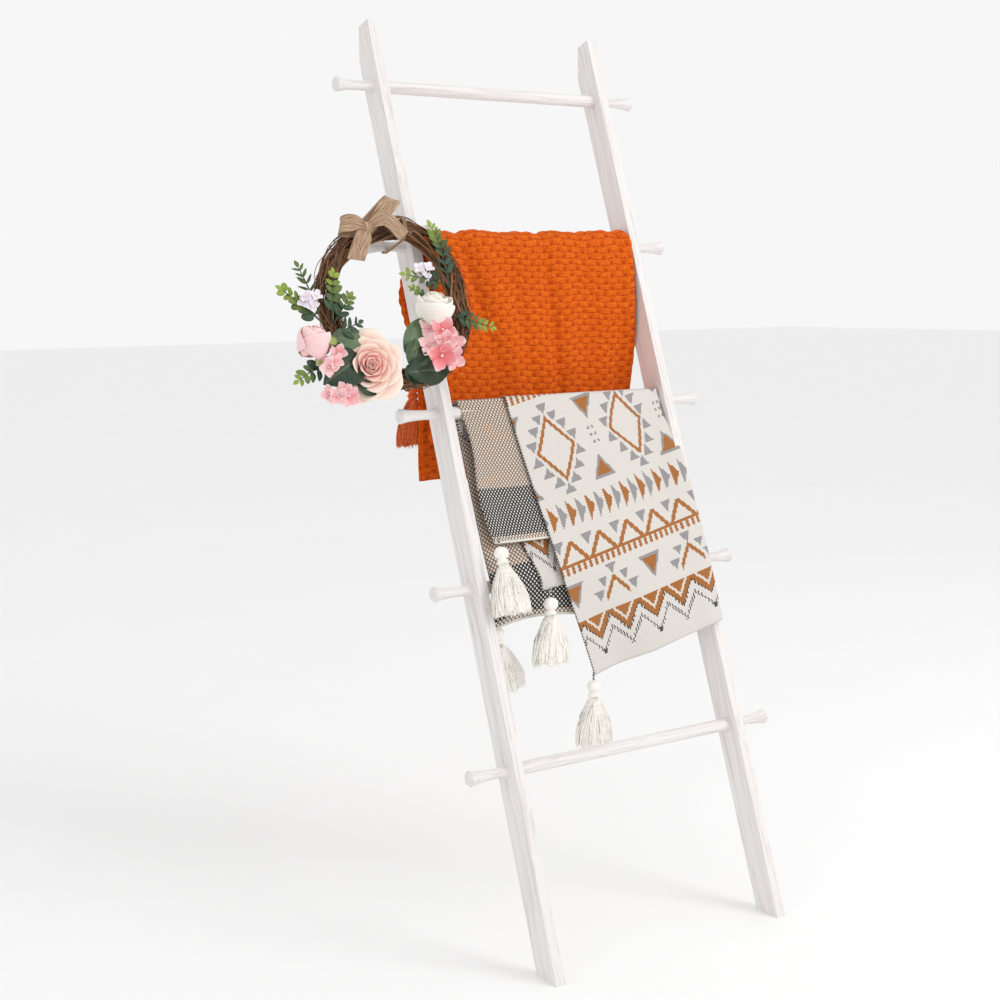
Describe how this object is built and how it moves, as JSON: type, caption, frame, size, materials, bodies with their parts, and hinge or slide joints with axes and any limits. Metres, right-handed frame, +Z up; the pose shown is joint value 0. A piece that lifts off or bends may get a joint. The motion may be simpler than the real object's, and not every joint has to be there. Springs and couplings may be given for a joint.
{
  "type": "leaning ladder rack with throws",
  "caption": "Leaning whitewashed ladder rack with pegs, holding two folded throws with tassels and a flower wreath.",
  "frame": {"origin": "on the floor at the wall line, midway between the rails", "axes": "+X to the right seen from the front, +Y towards the wall, +Z up"},
  "size_m": [0.8618, 0.5687, 1.5594],
  "materials": {
    "whitewashed_wood": "whitewashed, open grain",
    "steel": "zinc plated",
    "orange_knit": "basket-weave knit",
    "patterned_knit": "jacquard knit",
    "cream_yarn": "cut yarn",
    "orange_yarn": "cut yarn",
    "vine": "bark",
    "jute": "plain open weave",
    "peach_petal": "silk petal",
    "white_petal": "silk petal",
    "pink_petal": "silk petal",
    "leaf": "silk leaf"
  },
  "bodies": {
    "ladder": {"left_rail": "whitewashed_wood", "right_rail": "whitewashed_wood", "rung_1": "whitewashed_wood", "peg_left_1": "whitewashed_wood", "peg_right_1": "whitewashed_wood", "rung_2": "whitewashed_wood", "peg_left_2": "whitewashed_wood", "peg_right_2": "whitewashed_wood", "rung_3": "whitewashed_wood", "peg_left_3": "whitewashed_wood", "peg_right_3": "whitewashed_wood", "rung_4": "whitewashed_wood", "peg_left_4": "whitewashed_wood", "peg_right_4": "whitewashed_wood", "rung_5": "whitewashed_wood", "peg_left_5": "whitewashed_wood", "peg_right_5": "whitewashed_wood", "hanger_bolts": "steel", "threaded_inserts": "steel"},
    "orange_throw": {"orange_throw": "orange_knit"},
    "boho_throw": {"boho_throw": "patterned_knit"},
    "wreath": {"vine_ring": "vine", "wreath_loop": "jute", "jute_bow": "jute", "large_rose": "peach_petal", "white_rose": "white_petal", "rose_bud": "pink_petal", "hydrangea_right": "pink_petal", "hydrangea_left": "pink_petal", "hydrangea_bottom": "pink_petal", "small_blossoms": "white_petal", "rose_leaves": "leaf", "eucalyptus_left": "leaf", "eucalyptus_inner": "leaf", "eucalyptus_right": "leaf", "eucalyptus_low": "leaf"},
    "boho_tassel_1": {"boho_tassel_1": "cream_yarn"},
    "boho_tassel_2": {"boho_tassel_2": "cream_yarn"},
    "boho_tassel_3": {"boho_tassel_3": "cream_yarn"},
    "boho_tassel_4": {"boho_tassel_4": "cream_yarn"},
    "orange_tassel_1": {"orange_tassel_1": "orange_yarn"},
    "orange_tassel_2": {"orange_tassel_2": "orange_yarn"},
    "orange_tassel_3": {"orange_tassel_3": "orange_yarn"},
    "orange_tassel_4": {"orange_tassel_4": "orange_yarn"}
  },
  "joints": [
    {"name": "wreath_swing", "type": "hinge", "parent": "ladder", "child": "wreath", "pos_m": [-0.322, -0.13791, 1.16732], "axis": [-1, 0, 0], "range_deg": [0, 35]},
    {"name": "orange_throw_slide", "type": "slide", "parent": "ladder", "child": "orange_throw", "axis": [1, 0, 0], "range_m": [-0.012, 0.004]},
    {"name": "boho_throw_slide", "type": "slide", "parent": "ladder", "child": "boho_throw", "axis": [1, 0, 0], "range_m": [-0.01, 0.002]},
    {"name": "boho_tassel_1_swing", "type": "hinge", "parent": "boho_throw", "child": "boho_tassel_1", "pos_m": [-0.205, -0.35576, 0.67975], "axis": [-1, 0, 0], "range_deg": [0, 40]},
    {"name": "boho_tassel_2_swing", "type": "hinge", "parent": "boho_throw", "child": "boho_tassel_2", "pos_m": [-0.118, -0.37919, 0.58848], "axis": [-1, 0, 0], "range_deg": [0, 40]},
    {"name": "boho_tassel_3_swing", "type": "hinge", "parent": "boho_throw", "child": "boho_tassel_3", "pos_m": [-0.193, -0.32319, 0.53648], "axis": [0, 1, 0], "range_deg": [-25, 25]},
    {"name": "boho_tassel_4_swing", "type": "hinge", "parent": "boho_throw", "child": "boho_tassel_4", "pos_m": [-0.01, -0.35569, 0.42548], "axis": [0, 1, 0], "range_deg": [-25, 25]},
    {"name": "orange_tassel_1_swing", "type": "hinge", "parent": "orange_throw", "child": "orange_tassel_1", "pos_m": [-0.21, -0.09711, 0.94232], "axis": [0, 1, 0], "range_deg": [-25, 25]},
    {"name": "orange_tassel_2_swing", "type": "hinge", "parent": "orange_throw", "child": "orange_tassel_2", "pos_m": [-0.07, -0.09711, 0.94232], "axis": [0, 1, 0], "range_deg": [-25, 25]},
    {"name": "orange_tassel_3_swing", "type": "hinge", "parent": "orange_throw", "child": "orange_tassel_3", "pos_m": [0.055, -0.09711, 0.94232], "axis": [0, 1, 0], "range_deg": [-25, 25]},
    {"name": "orange_tassel_4_swing", "type": "hinge", "parent": "orange_throw", "child": "orange_tassel_4", "pos_m": [0.18, -0.09711, 0.94232], "axis": [0, 1, 0], "range_deg": [-25, 25]}
  ]
}
